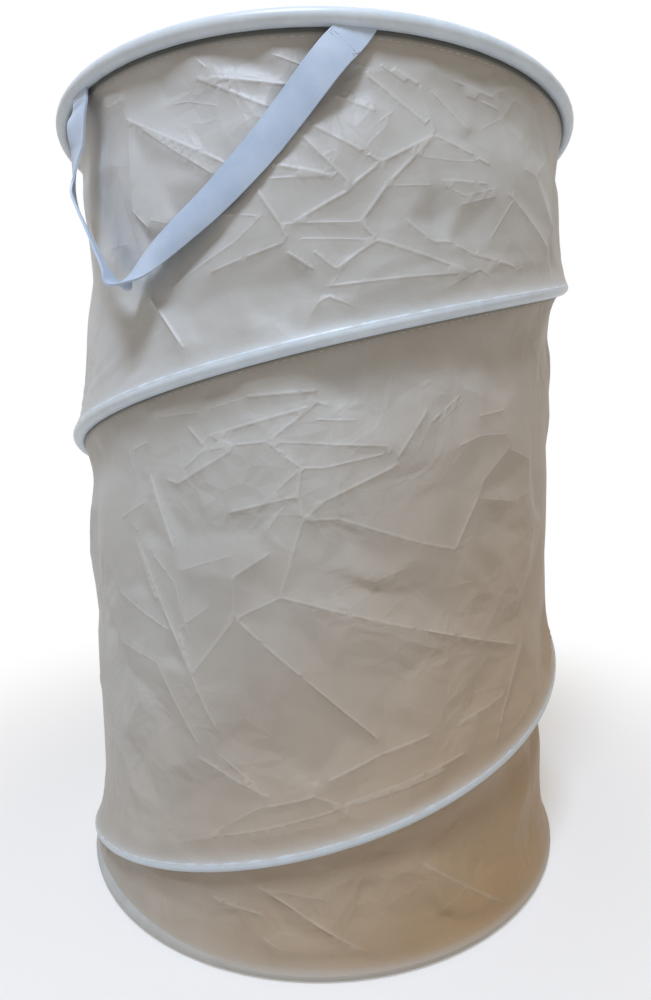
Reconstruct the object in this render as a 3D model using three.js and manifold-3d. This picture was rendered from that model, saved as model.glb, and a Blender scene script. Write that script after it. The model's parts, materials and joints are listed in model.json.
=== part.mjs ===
// A pop-up laundry hamper. Two spring wire hoops and one long spring wire spiral run in fabric hems
// on the outside of a thin polyester wall, and hold it open as a round basket without a lid. Two
// webbing handles are sewn under the top hem, one at the front left and one at the back right.
// Pushed down, the spiral lies flat between the hoops and the hamper becomes a disc.
//
// Millimetres, +Z up. The origin is on the floor at the middle of the bottom. The front, where the
// first handle hangs, faces -Y, and +X is to its right.
import * as THREE from "three";
import { mergeVertices } from "three/addons/utils/BufferGeometryUtils.js";
import Module from "manifold-3d";

const wasm = await Module();
wasm.setup();

// Overall sizes
const height = 500;
const diameter = 350; // over the hems
const gap = 0.3; // between two pieces that touch
const overrun = 2; // how far a cutting tool runs past what it cuts
const weld = 1e-4; // two points closer than this are one
const ringSteps = 40; // straight steps in one turn of every hoop, hem and wall

// Spring wire, and what joins or ends it
const wireDiameter = 2.8;
const wireSides = 6;
const boreSides = 8;
const ferruleWall = 0.8;
const ferruleLength = 16;
const capWall = 0.9;
const capLength = 11;
const capEnd = 2; // thickness of the cap past the end of the wire

// Hems that hold the wires
const hemDiameter = 9;
const hemFlare = 26; // how far above its wire the wall's cloth starts to flare out to a hem
const hemEdge = 0.8; // thickness of the flare's upper edge
const hemSlot = 3; // opening in a hoop's hem, where the wire was pushed in
const hemFlareWidthShare = 0.45; // of the hem's diameter, half way up the flare
const hemFlareHeightShare = 0.45; // of the flare's height, at that place
const hemRoundSteps = 8;

// Spiral: where it leaves the top hoop, where it meets the bottom hoop, and its height between.
// It is measured in steps, going down and clockwise seen from above, from the left side (-X).
const spiralHeadStep = 4;
const spiralFootStep = 79;
const spiralStationSteps = [20, 40, 60];
const spiralHeightShares = [0.813, 0.572, 0.302]; // of the height, at the three stations

// Wall and bottom
const wallThickness = 0.8;
const wallWaist = 1.6; // how far the wall is drawn in between two hems
const waistReach = 34; // from a hem to where the waist is full
const wallRows = 22;
const bottomThickness = 1.2;
const seamWidth = 10;
const seamThickness = 0.8;
const seamFacet = 25; // the step of the wall, counted from +X, that holds the side seam

// Handles
const strapWidth = 20;
const strapThickness = 1.2;
const strapSteps = 52;
const strapReach = 0.4; // in stations of the strap's path, over which its direction is taken
const handleRightAngle = -83; // degrees round from +X to the right end, on the front handle
const handleSpan = 64; // degrees from the right end to the left end
const handleDrop = 110; // from the sewn ends down to the strap's lowest point
const strapTwist = 42; // degrees by which the strap's face turns down at its lowest point
const sewnRadius = 20; // length of a sewn end, measured from the line that the strap swings about
const hingeSides = 48;
const tackWidth = 14;
const tackLength = 3;
const tackThickness = 0.6;
const tackDrop = 13; // along the strap, from the hem to the middle of the tack
// Along the strap from its right end to its left, and past both ends: share of the span, of the
// drop, of the way out from under the hem to its outside, and of the twist.
const strapPathShares = [
  [-0.07, -0.18, 0, 0],
  [0, 0, 0, 0],
  [0.06, 0.16, 1, 0],
  [0.13, 0.31, 1, 0],
  [0.25, 0.54, 1, 0.05],
  [0.38, 0.76, 1, 0.3],
  [0.54, 0.95, 1, 0.8],
  [0.66, 1, 1, 1],
  [0.76, 0.88, 1, 1],
  [0.84, 0.68, 1, 0.9],
  [0.91, 0.45, 1, 0.6],
  [0.96, 0.2, 1, 0.2],
  [1, 0, 0, 0],
  [1.03, -0.18, 0, 0],
];
const strapRightStation = 1; // the strap passes under the hem at the second station
const strapLeftStation = strapPathShares.length - 2; // and again at the last but one

// Sizes worked out from those
const outerRadius = diameter / 2;
const hemRadius = hemDiameter / 2;
const wireRadius = wireDiameter / 2;
const hoopRadius = outerRadius - hemRadius; // the circle that every wire follows
const hemInner = outerRadius - hemDiameter;
const wallOuter = hemInner - gap;
const step = (2 * Math.PI) / ringSteps;
const boreShare = 1 / Math.cos(Math.PI / boreSides);
const ferruleBore = (wireRadius + gap) * boreShare;
const ferruleRadius = ferruleBore + ferruleWall;
const capRadius = ferruleBore + capWall;
const hemBore = (Math.max(ferruleRadius, capRadius) + gap) * boreShare;
const topHoopHeight = height - hemRadius;
const bottomHoopHeight = hemRadius;
const spiralHeadHeight = topHoopHeight - hemDiameter - gap;
const spiralFootHeight = bottomHoopHeight + hemDiameter + gap;
const seamAngle = (seamFacet + 0.5) * step;

const clothMaterial = { color: 0xb9b2a6, roughness: 0.75, metalness: 0 };
const hemMaterial = { color: 0xc3ccd2, roughness: 0.7, metalness: 0 };
const webbingMaterial = { color: 0xc2cbdc, roughness: 0.8, metalness: 0 };
const threadMaterial = { color: 0xd8dde4, roughness: 0.85, metalness: 0 };
const wireMaterial = { color: 0x8e9196, roughness: 0.35, metalness: 1 };
const ferruleMaterial = { color: 0xb4b6b8, roughness: 0.4, metalness: 1 };
const capMaterial = { color: 0x2c2d2f, roughness: 0.6, metalness: 0 };

// Geometry

// A closed surface from points and triangles, with its faces turned outwards.
function closedGeometry(points, triangles) {
  let volume = 0;
  const normal = new THREE.Vector3();
  for (const [a, b, c] of triangles) {
    volume += normal.crossVectors(points[a], points[b]).dot(points[c]);
  }
  const turned = volume < 0 ? triangles.map(([a, b, c]) => [a, c, b]) : triangles;
  const geometry = new THREE.BufferGeometry().setFromPoints(points);
  geometry.setIndex(turned.flat());
  geometry.computeVertexNormals();
  return geometry;
}

// Joins the same point of neighbouring rings of points by two triangles a side.
function skin(rings, ringSize, closed) {
  const triangles = [];
  const spans = closed ? rings : rings - 1;
  for (let i = 0; i < spans; i++) {
    const here = i * ringSize;
    const next = ((i + 1) % rings) * ringSize;
    for (let j = 0; j < ringSize; j++) {
      const k = (j + 1) % ringSize;
      triangles.push([here + j, next + j, next + k], [here + j, next + k, here + k]);
    }
  }
  return triangles;
}

// How far inside the circle a point between two steps lies, so that every hoop, hem and wall keeps
// to the same straight steps.
function chordShare(angle) {
  const inStep = angle - Math.floor(angle / step + 1e-6) * step - step / 2;
  return Math.cos(step / 2) / Math.cos(inStep);
}

// A solid whose outline, in radius and height, is carried round the Z axis. The outline can change
// from angle to angle, can have one hole, and either closes on itself or ends in two flat faces.
function carriedRound(angles, outlineAt, holeAt = null, closed = false) {
  const outlines = angles.map((angle) => outlineAt(angle));
  const holes = holeAt ? angles.map((angle) => holeAt(angle)) : [];
  const points = [];
  const place = (outline, angle) => {
    for (const p of outline) {
      const radius = p.x * chordShare(angle);
      points.push(new THREE.Vector3(radius * Math.cos(angle), radius * Math.sin(angle), p.y));
    }
  };
  outlines.forEach((outline, i) => place(outline, angles[i]));
  holes.forEach((hole, i) => place(hole, angles[i]));
  const size = outlines[0].length;
  const triangles = skin(angles.length, size, closed);
  const firstHolePoint = angles.length * size;
  const holeSize = holeAt ? holes[0].length : 0;
  if (holeAt) {
    for (const [a, b, c] of skin(angles.length, holeSize, closed)) {
      triangles.push([a + firstHolePoint, c + firstHolePoint, b + firstHolePoint]);
    }
  }
  if (!closed) {
    const last = angles.length - 1;
    const face = (i) =>
      THREE.ShapeUtils.triangulateShape(outlines[i].slice(), holeAt ? [holes[i].slice()] : []).map(
        (triangle) =>
          triangle.map((n) => (n < size ? i * size + n : firstHolePoint + i * holeSize + n - size)),
      );
    triangles.push(...face(0), ...face(last).map(([a, b, c]) => [a, c, b]));
  }
  return closedGeometry(points, triangles);
}

function roundOutline(radius, sides, centreRadius, centreHeight) {
  return Array.from({ length: sides }, (_, i) => {
    const angle = (2 * Math.PI * (i + 0.5)) / sides;
    const across = centreRadius + radius * Math.cos(angle);
    return new THREE.Vector2(across, centreHeight + radius * Math.sin(angle));
  });
}

// The hem's outline: round over the wire, and flaring in towards the wall above it.
function hemOutline(centreHeight, room) {
  const flare = Math.max(hemRadius, Math.min(hemFlare, room));
  const shoulder = hemRadius * Math.sin(Math.PI / 3);
  const points = [];
  for (let i = 0; i <= hemRoundSteps; i++) {
    const angle = -Math.PI + (i * (4 * Math.PI)) / (3 * hemRoundSteps);
    const across = hoopRadius + hemRadius * Math.cos(angle);
    points.push(new THREE.Vector2(across, centreHeight + hemRadius * Math.sin(angle)));
  }
  const middle = shoulder + hemFlareHeightShare * (flare - shoulder);
  const halfWay = hemInner + hemFlareWidthShare * hemDiameter;
  points.push(new THREE.Vector2(halfWay, centreHeight + middle));
  points.push(new THREE.Vector2(hemInner + hemEdge, centreHeight + flare));
  points.push(new THREE.Vector2(hemInner, centreHeight + flare));
  return points;
}

// The steps of one full turn that starts and ends beside the side seam, with an opening between
// its two ends.
function turnFromSeam(opening) {
  const half = opening / 2 / hoopRadius;
  const angles = [seamAngle + half];
  for (let i = 1; i <= ringSteps; i++) angles.push((seamFacet + i) * step);
  angles.push(seamAngle + 2 * Math.PI - half);
  return angles;
}

// The spiral's height at a place given in steps down from the left side.
const spiralCurve = new THREE.CubicInterpolant(
  [spiralHeadStep, ...spiralStationSteps, spiralFootStep],
  [spiralHeadHeight, ...spiralHeightShares.map((share) => share * height), spiralFootHeight],
  1,
);
function spiralHeight(place) {
  const whole = Math.floor(place);
  const here = spiralCurve.evaluate(whole)[0];
  if (place === whole) return here;
  return here + (place - whole) * (spiralCurve.evaluate(whole + 1)[0] - here);
}
const spiralAngle = (place) => Math.PI - place * step;
const spiralPlace = (angle) => (Math.PI - angle) / step;

// The steps of the spiral, leaving out a length at each end.
function spiralAngles(endLength) {
  const ends = endLength / hoopRadius / step;
  const places = [spiralHeadStep + ends];
  for (let i = spiralHeadStep + 1; i < spiralFootStep; i++) places.push(i);
  places.push(spiralFootStep - ends);
  return places.map(spiralAngle).reverse();
}

// The spiral's height where its lowest turn passes over a place on the bottom hoop.
function spiralOverBottom(angle) {
  const turnsDown = Math.floor((spiralFootStep - spiralPlace(angle)) / ringSteps);
  return spiralHeight(Math.round(spiralPlace(angle) + turnsDown * ringSteps));
}

// How far a place on the wall is from the nearest hem above or below it.
function nearestHem(angle, z) {
  let nearest = Math.min(topHoopHeight - z, z - bottomHoopHeight);
  let place = Math.round(spiralPlace(angle));
  while (place < spiralHeadStep) place += ringSteps;
  while (place - ringSteps >= spiralHeadStep) place -= ringSteps;
  for (; place <= spiralFootStep; place += ringSteps) {
    nearest = Math.min(nearest, Math.abs(spiralHeight(place) - z));
  }
  return Math.max(nearest, 0);
}

const wallFoot = bottomThickness + gap;
const wallTop = topHoopHeight;
const rowHeight = (row) => wallFoot + (row / wallRows) * (wallTop - wallFoot);
function wallRadius(angle, z) {
  return wallOuter - wallWaist * THREE.MathUtils.smoothstep(nearestHem(angle, z), 0, waistReach);
}

// Solids for cutting and joining

function solidOf(geometry) {
  const bare = geometry.index ? geometry.toNonIndexed() : geometry.clone();
  bare.deleteAttribute("normal");
  bare.deleteAttribute("uv");
  const merged = mergeVertices(bare, weld);
  return new wasm.Manifold(
    new wasm.Mesh({
      numProp: 3,
      vertProperties: merged.attributes.position.array,
      triVerts: new Uint32Array(merged.index.array),
    }),
  );
}

function geometryOf(solid) {
  const mesh = solid.getMesh();
  const geometry = new THREE.BufferGeometry();
  geometry.setAttribute("position", new THREE.BufferAttribute(mesh.vertProperties, mesh.numProp));
  geometry.setIndex(new THREE.BufferAttribute(mesh.triVerts, 1));
  geometry.computeVertexNormals();
  return geometry;
}

// Pieces

function hoopWire(hoopHeight) {
  return carriedRound(turnFromSeam(gap), () =>
    roundOutline(wireRadius, wireSides, hoopRadius, hoopHeight),
  );
}

function hoopFerrule(hoopHeight) {
  const half = ferruleLength / 2 / hoopRadius;
  return carriedRound(
    [seamAngle - half, seamAngle + half],
    () => roundOutline(ferruleRadius, boreSides, hoopRadius, hoopHeight),
    () => roundOutline(ferruleBore, boreSides, hoopRadius, hoopHeight),
  );
}

function topHem() {
  return carriedRound(
    turnFromSeam(hemSlot),
    () => hemOutline(topHoopHeight, hemRadius),
    () => roundOutline(hemBore, boreSides, hoopRadius, topHoopHeight),
  );
}

function bottomHem() {
  const room = (angle) => spiralOverBottom(angle) - hemRadius - gap - bottomHoopHeight;
  return carriedRound(
    turnFromSeam(hemSlot),
    (angle) => hemOutline(bottomHoopHeight, room(angle)),
    () => roundOutline(hemBore, boreSides, hoopRadius, bottomHoopHeight),
  );
}

function spiralHem() {
  const ceiling = topHoopHeight - hemRadius - gap;
  const centre = (angle) => spiralHeight(spiralPlace(angle));
  return carriedRound(
    spiralAngles(0),
    (angle) => hemOutline(centre(angle), ceiling - centre(angle)),
    (angle) => roundOutline(hemBore, boreSides, hoopRadius, centre(angle)),
  );
}

function spiralWire() {
  return carriedRound(spiralAngles(capEnd + gap), (angle) =>
    roundOutline(wireRadius, wireSides, hoopRadius, spiralHeight(spiralPlace(angle))),
  );
}

// A plastic cap pushed over one end of the spiral wire. It is open towards the wire and closed at
// the hem's end.
function spiralCap(endStep, direction) {
  const place = (length) => endStep + (direction * length) / hoopRadius / step;
  const run = (places, radius) =>
    carriedRound(places.map(spiralAngle), (angle) =>
      roundOutline(radius, boreSides, hoopRadius, spiralHeight(spiralPlace(angle))),
    );
  const body = run([place(0), place(capLength)], capRadius);
  const bore = run([place(capEnd), place(capLength + overrun)], ferruleBore);
  return geometryOf(solidOf(body).subtract(solidOf(bore)));
}

function wall() {
  const angles = Array.from({ length: ringSteps }, (_, i) => i * step);
  return carriedRound(
    angles,
    (angle) => {
      const outside = [];
      const inside = [];
      for (let row = 0; row <= wallRows; row++) {
        const z = rowHeight(row);
        const radius = wallRadius(angle, z);
        outside.push(new THREE.Vector2(radius, z));
        inside.unshift(new THREE.Vector2(radius - wallThickness, z));
      }
      return [...outside, ...inside];
    },
    null,
    true,
  );
}

function bottomPanel() {
  const profile = [
    new THREE.Vector2(0, 0),
    new THREE.Vector2(wallOuter, 0),
    new THREE.Vector2(wallOuter, bottomThickness),
    new THREE.Vector2(0, bottomThickness),
  ];
  return new THREE.LatheGeometry(profile, ringSteps).rotateX(Math.PI / 2);
}

// The tape that binds the wall's two upright edges, on the inside of the wall.
function sideSeam() {
  const half = seamWidth / 2 / wallOuter;
  const columns = [seamFacet * step, (seamFacet + 1) * step];
  return carriedRound([seamAngle - half, seamAngle + half], () => {
    const outside = [];
    const inside = [];
    for (let row = 0; row <= wallRows; row++) {
      const z = rowHeight(row);
      const inner = Math.min(...columns.map((angle) => wallRadius(angle, z))) - wallThickness;
      outside.push(new THREE.Vector2(inner - gap, z));
      inside.unshift(new THREE.Vector2(inner - gap - seamThickness, z));
    }
    return [...outside, ...inside];
  });
}

// The strap's middle line starts under the top hem, comes out in front of it and then lies just
// outside all the hems, standing off where the strap is turned.
const sewnHeight = height - hemDiameter - gap;
const strapCurve = new THREE.CubicInterpolant(
  strapPathShares.map((_, i) => i),
  strapPathShares.flat(),
  strapPathShares[0].length,
);
function strapCentre(station) {
  const [span, drop, out, turn] = strapCurve.evaluate(station);
  const angle = THREE.MathUtils.degToRad(handleRightAngle - span * handleSpan);
  const twist = THREE.MathUtils.degToRad(Math.max(turn, 0) * strapTwist);
  const outside = outerRadius + gap + strapThickness / 2 + (strapWidth / 2) * Math.sin(twist);
  const radius = THREE.MathUtils.lerp(hoopRadius, outside, THREE.MathUtils.clamp(out, 0, 1));
  const outward = new THREE.Vector3(Math.cos(angle), Math.sin(angle), 0);
  const centre = outward.clone().multiplyScalar(radius).setZ(sewnHeight - drop * handleDrop);
  return { centre, twist, outward };
}
function strapFrame(station) {
  const here = strapCentre(station);
  const before = strapCentre(station - strapReach).centre;
  const tangent = strapCentre(station + strapReach).centre.sub(before).normalize();
  const across = new THREE.Vector3().crossVectors(here.outward, tangent).normalize();
  const face = new THREE.Vector3().crossVectors(tangent, across);
  across.applyAxisAngle(tangent, here.twist);
  face.applyAxisAngle(tangent, here.twist);
  return { centre: here.centre, across, face };
}

// A flat ribbon along a stretch of the strap's middle line, lifted off it towards the outside.
function ribbon(from, to, steps, width, thickness, lift) {
  const points = [];
  for (let i = 0; i <= steps; i++) {
    const { centre, across, face } = strapFrame(from + ((to - from) * i) / steps);
    for (const [side, level] of [[-1, -1], [1, -1], [1, 1], [-1, 1]]) {
      const point = centre.clone().addScaledVector(across, (side * width) / 2);
      points.push(point.addScaledVector(face, lift + (level * thickness) / 2));
    }
  }
  const last = steps * 4;
  const triangles = skin(steps + 1, 4, false);
  triangles.push([0, 1, 2], [0, 2, 3], [last, last + 2, last + 1], [last, last + 3, last + 2]);
  return closedGeometry(points, triangles);
}

// A handle swings about the line through its two sewn ends. The sewn ends keep inside a cylinder
// round that line, and the strap outside it, so they pass each other at every angle.
function hingeCylinder(radius) {
  const right = strapCentre(strapRightStation).centre;
  const left = strapCentre(strapLeftStation).centre;
  const direction = left.clone().sub(right);
  const length = direction.length() + 2 * (strapWidth + sewnRadius);
  const cylinder = new THREE.CylinderGeometry(radius, radius, length, hingeSides);
  const turn = new THREE.Quaternion().setFromUnitVectors(
    new THREE.Vector3(0, 1, 0),
    direction.normalize(),
  );
  const middle = right.add(left).multiplyScalar(0.5);
  cylinder.applyQuaternion(turn).translate(middle.x, middle.y, middle.z);
  return solidOf(cylinder);
}

const underHem = new THREE.BoxGeometry(2 * diameter, 2 * diameter, height);
underHem.translate(0, 0, sewnHeight - height / 2);
const lastStation = strapPathShares.length - 1;
const wholeStrap = solidOf(ribbon(0, lastStation, strapSteps, strapWidth, strapThickness, 0));
const strapUnderHem = wholeStrap.intersect(solidOf(underHem));

function looseStrap() {
  return geometryOf(strapUnderHem.subtract(hingeCylinder(sewnRadius + gap)));
}

// The two sewn ends are what the strap keeps inside the hinge's cylinder.
const sewnEnds = strapUnderHem.intersect(hingeCylinder(sewnRadius)).decompose();
const leftmostFirst = sewnEnds.sort((a, b) => a.boundingBox().min[0] - b.boundingBox().min[0]);

// A bar of thread through a sewn end, across the strap.
function tack(side) {
  const end = side === "right" ? strapRightStation : strapLeftStation;
  const inwards = side === "right" ? 1 : -1;
  const stationLength = strapCentre(end).centre.distanceTo(strapCentre(end + inwards).centre);
  const middle = end + (inwards * tackDrop) / stationLength;
  const half = tackLength / 2 / stationLength;
  const lift = strapThickness / 2 + gap + tackThickness / 2;
  return ribbon(middle - half, middle + half, 1, tackWidth, tackThickness, lift);
}

// Assembly

const hamper = new THREE.Group();
function add(parent, name, geometry, material) {
  const mesh = new THREE.Mesh(geometry, new THREE.MeshStandardMaterial(material));
  mesh.name = name;
  parent.add(mesh);
}

add(hamper, "bottom_panel", bottomPanel(), clothMaterial);
add(hamper, "bottom_hoop_wire", hoopWire(bottomHoopHeight), wireMaterial);
add(hamper, "bottom_hoop_ferrule", hoopFerrule(bottomHoopHeight), ferruleMaterial);
add(hamper, "bottom_hem", bottomHem(), hemMaterial);
add(hamper, "wall_fabric", wall(), clothMaterial);
add(hamper, "side_seam_tape", sideSeam(), hemMaterial);
add(hamper, "spiral_wire", spiralWire(), wireMaterial);
add(hamper, "spiral_head_cap", spiralCap(spiralHeadStep, 1), capMaterial);
add(hamper, "spiral_foot_cap", spiralCap(spiralFootStep, -1), capMaterial);
add(hamper, "spiral_hem", spiralHem(), hemMaterial);
add(hamper, "top_hoop_wire", hoopWire(topHoopHeight), wireMaterial);
add(hamper, "top_hoop_ferrule", hoopFerrule(topHoopHeight), ferruleMaterial);
add(hamper, "top_hem", topHem(), hemMaterial);

for (const [name, turn] of [["front", 0], ["back", Math.PI]]) {
  const handle = new THREE.Group();
  handle.rotation.z = turn;
  hamper.add(handle);
  add(handle, `${name}_handle_strap`, looseStrap(), webbingMaterial);
  add(handle, `${name}_handle_left_end`, geometryOf(leftmostFirst[0]), webbingMaterial);
  add(handle, `${name}_handle_right_end`, geometryOf(leftmostFirst[1]), webbingMaterial);
  add(handle, `${name}_handle_left_tack`, tack("left"), threadMaterial);
  add(handle, `${name}_handle_right_tack`, tack("right"), threadMaterial);
}

export default hamper;
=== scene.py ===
# %% [markdown]
# # A pop-up laundry hamper
#
# The hamper is a tube of thin polyester taffeta, held open by two spring wire hoops and one
# long spring wire spiral. The wires run in round hems on the outside of the cloth. Two straps
# of polypropylene webbing are sewn under the top hem, one at the front left and one at the
# back right. The cloth is soft, pale and creased from being stored flat.
#
# The hard measures come from the fixed frame. This script makes the cloth, the hems, the
# webbing and the finishes around it, in metres, with +Z up and the front facing -Y.

# %% Load the fixed frame
import json
import math

import bpy
import numpy as np
from mathutils import Matrix, Vector
from mathutils.geometry import delaunay_2d_cdt

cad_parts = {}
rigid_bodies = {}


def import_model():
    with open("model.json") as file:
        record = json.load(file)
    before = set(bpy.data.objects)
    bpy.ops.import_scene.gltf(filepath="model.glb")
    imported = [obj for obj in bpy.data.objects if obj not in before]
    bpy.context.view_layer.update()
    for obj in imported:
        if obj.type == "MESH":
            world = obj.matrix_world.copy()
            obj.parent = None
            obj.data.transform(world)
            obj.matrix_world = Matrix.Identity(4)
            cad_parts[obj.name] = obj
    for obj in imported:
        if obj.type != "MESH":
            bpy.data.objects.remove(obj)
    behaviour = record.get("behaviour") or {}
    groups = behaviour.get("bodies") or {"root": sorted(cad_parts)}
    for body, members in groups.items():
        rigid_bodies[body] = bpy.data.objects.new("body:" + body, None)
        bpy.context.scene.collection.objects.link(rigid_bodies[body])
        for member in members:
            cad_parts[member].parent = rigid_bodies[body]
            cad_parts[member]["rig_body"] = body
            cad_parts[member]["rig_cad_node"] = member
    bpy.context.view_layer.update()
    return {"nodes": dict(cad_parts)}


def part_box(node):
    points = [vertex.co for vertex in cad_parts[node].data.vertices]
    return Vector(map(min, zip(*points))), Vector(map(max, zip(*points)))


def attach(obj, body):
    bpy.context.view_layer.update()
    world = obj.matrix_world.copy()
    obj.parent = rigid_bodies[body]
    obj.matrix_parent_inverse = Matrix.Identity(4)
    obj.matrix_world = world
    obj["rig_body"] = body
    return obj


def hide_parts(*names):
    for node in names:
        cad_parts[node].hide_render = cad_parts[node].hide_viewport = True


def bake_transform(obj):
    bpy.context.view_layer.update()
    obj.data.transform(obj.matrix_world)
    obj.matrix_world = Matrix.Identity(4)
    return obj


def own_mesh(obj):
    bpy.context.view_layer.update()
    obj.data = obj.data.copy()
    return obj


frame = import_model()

MM = 0.001
HAIR = 0.01 * MM  # closer than this, two points are one

# %% [markdown]
# ## Measures
#
# A good habit is to read the sizes from the parts that already exist and to write each new
# size once. The top hem tells how wide the hamper is and how thick a hem is. The spiral is a
# list of heights, one for every eighth of a turn, and a smooth curve goes through them.
#
# Places on the wall are given by their azimuth, in degrees from the front towards the right,
# and by their height.

# %% Sizes read from the frame
hem_low, hem_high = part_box("top_hem")
OUTER = hem_high.x
HEIGHT = hem_high.z
HEM = (hem_high.z - hem_low.z) / 2
COIL = OUTER - HEM
TOP_COIL = HEIGHT - HEM
BOTTOM_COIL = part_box("bottom_hem")[0].z + HEM
SEWN = hem_low.z - 0.3 * MM  # where the straps come out from under the top hem
SEAM_AZIMUTH = -40.5
print(f"hamper {2 * OUTER:.3f} m across, {HEIGHT:.3f} m high, hems {2 * HEM / MM:.0f} mm thick")

# %% The spiral's route
SPIRAL_HEAD_AZIMUTH = -126
SPIRAL_TURN = 675
SPIRAL_MERGE = 30  # degrees in which it runs into a hoop
spiral_heights_mm = [
    486.2, 461.9, 437.6, 411.9, 384, 354.5, 323.9, 292.4,
    260.1, 226.8, 192.7, 158, 122.7, 86.6, 50.1, 13.8,
]
spiral_curve = np.polynomial.Polynomial.fit(
    np.linspace(0, SPIRAL_TURN, len(spiral_heights_mm)), spiral_heights_mm, 6
)


def spiral_height(turned):
    """Height of the spiral wire after so many degrees; past its ends it runs into the hoops."""
    height = spiral_curve(np.clip(turned, 0, SPIRAL_TURN)) * MM
    to_top = np.clip(-turned / SPIRAL_MERGE, 0, 1)
    to_bottom = np.clip((turned - SPIRAL_TURN) / SPIRAL_MERGE, 0, 1)
    return height + to_top * (TOP_COIL - height) + to_bottom * (BOTTOM_COIL - height)


def ring_place(azimuth, radius, height):
    """Points at azimuths in degrees round the hamper, as rows of x, y, z."""
    angle = np.radians(azimuth)
    return np.stack([radius * np.sin(angle), -radius * np.cos(angle), height + 0 * angle], -1)


print("spiral drops from", spiral_heights_mm[0], "to", spiral_heights_mm[-1], "mm")

# %% [markdown]
# ## Camera
#
# The camera looks slightly down from just above the middle of the hamper, so close that the
# hoops curve strongly. It comes first, because everything after it is judged through it.
# The lens is a wide one, and the camera leans by less than a degree.

# %% Camera
LENS_MM = 23.48
CAMERA_PLACE = (0.0042, -0.4997, 0.3084)
CAMERA_DOWN = math.radians(6.83)
CAMERA_LEAN = math.radians(-0.62)
camera_data = bpy.data.cameras.new("camera")
camera_data.lens = LENS_MM
camera_data.sensor_width = 36
camera = bpy.data.objects.new("camera", camera_data)
bpy.context.scene.collection.objects.link(camera)
level = Matrix.Rotation(math.radians(90) - CAMERA_DOWN, 4, "X")
lean = Matrix.Rotation(CAMERA_LEAN, 4, "Z")
camera.matrix_world = Matrix.Translation(CAMERA_PLACE) @ level @ lean
bpy.context.scene.camera = camera
bpy.context.scene.view_settings.view_transform = "Standard"
print("camera with a", LENS_MM, "mm lens at", CAMERA_PLACE)

# %% [markdown]
# ## Helpers for shapes
#
# Most steps start by clearing the selection, because an operator acts on all that is
# selected. Cloth is started as a flat grid, as it is cut from the roll, and its points are
# then moved to where the sewn cloth lies. The grid's own UV map is scaled to metres, so that
# a weave can follow the cloth.


# %% Shape helpers
def start_clean():
    """Leaves edit mode and deselects everything."""
    if bpy.context.object and bpy.context.object.mode != "OBJECT":
        bpy.ops.object.mode_set(mode="OBJECT")
    bpy.ops.object.select_all(action="DESELECT")


def use(piece):
    """Selects this piece alone."""
    start_clean()
    piece.select_set(True)
    bpy.context.view_layer.objects.active = piece


def edit(piece, chosen=None, kind="VERT"):
    """Opens a piece in edit mode with all of it selected, or only the chosen elements."""
    use(piece)
    bpy.ops.object.mode_set(mode="EDIT")
    bpy.ops.mesh.select_mode(type=kind)
    bpy.ops.mesh.select_all(action="SELECT" if chosen is None else "DESELECT")
    if chosen is not None:
        bpy.ops.object.mode_set(mode="OBJECT")
        elements = piece.data.polygons if kind == "FACE" else piece.data.vertices
        elements.foreach_set("select", chosen)
        bpy.ops.object.mode_set(mode="EDIT")


def added(name):
    """The primitive that was just added, renamed."""
    piece = bpy.context.object
    piece.name = piece.data.name = name
    return piece


def copied(piece, name):
    """A copy with its own mesh."""
    use(piece)
    bpy.ops.object.duplicate()
    return added(name)


def points_of(piece):
    flat = np.empty(len(piece.data.vertices) * 3)
    piece.data.vertices.foreach_get("co", flat)
    return flat.reshape(-1, 3)


def move_points(piece, points):
    piece.data.vertices.foreach_set("co", np.ascontiguousarray(points, dtype=float).ravel())
    piece.data.update()


def turned_round(rows, angle):
    """Points or directions, turned about the hamper's axis."""
    return rows @ np.array(Matrix.Rotation(angle, 3, "Z")).T


def give_attribute(piece, name, values):
    """One number or one place for each point, which a material can read."""
    values = np.asarray(values, dtype=np.float32)
    kind, key = ("FLOAT", "value") if values.ndim == 1 else ("FLOAT_VECTOR", "vector")
    attribute = piece.data.attributes.new(name, kind, "POINT")
    attribute.data.foreach_set(key, values.ravel())


def cloth_grid(name, columns, rows, width, length):
    """A flat cut of cloth, and the share across and along it of each point."""
    start_clean()
    bpy.ops.mesh.primitive_grid_add(x_subdivisions=columns, y_subdivisions=rows, size=1)
    piece = added(name)
    shares = points_of(piece)[:, :2] + 0.5
    uv = piece.data.uv_layers[0].data
    flat = np.empty(len(uv) * 2)
    uv.foreach_get("uv", flat)
    uv.foreach_set("uv", (flat.reshape(-1, 2) * [width, length]).ravel())
    return piece, shares[:, 0], shares[:, 1]


def thicken(piece, thickness):
    """Gives a flat cut its thickness, half of it on each side."""
    use(piece)
    modifier = piece.modifiers.new("thickness", "SOLIDIFY")
    modifier.thickness, modifier.offset = thickness, 0
    bpy.ops.object.modifier_apply(modifier=modifier.name)


def tidy_mesh(piece, angle=40):
    """Merges double points, turns the faces outwards and smooths all but sharp edges."""
    edit(piece)
    bpy.ops.mesh.remove_doubles(threshold=HAIR)
    bpy.ops.mesh.normals_make_consistent(inside=False)
    use(piece)
    if angle is None:
        bpy.ops.object.shade_smooth()
    else:
        bpy.ops.object.shade_smooth_by_angle(angle=math.radians(angle))


def step(value):
    """Eases from 0 to 1 as the value does."""
    value = np.clip(value, 0, 1)
    return value * value * (3 - 2 * value)


def swell(value, middle, reach):
    """1 in the middle, and falls off softly to both sides."""
    return np.exp(-(((value - middle) / reach) ** 2))


# %% [markdown]
# ## Helpers for finishes
#
# Colours are written as they look on a screen, in hex, and turned to linear light by one
# function. One more function adds a node, sets it and links it, and gives back the output
# that is wanted. In a Mix node, sockets 6 and 7 are the two colours and output 2 is the mix.
# Most finishes start from a soft noise that drifts between a deep and a pale colour.


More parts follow.
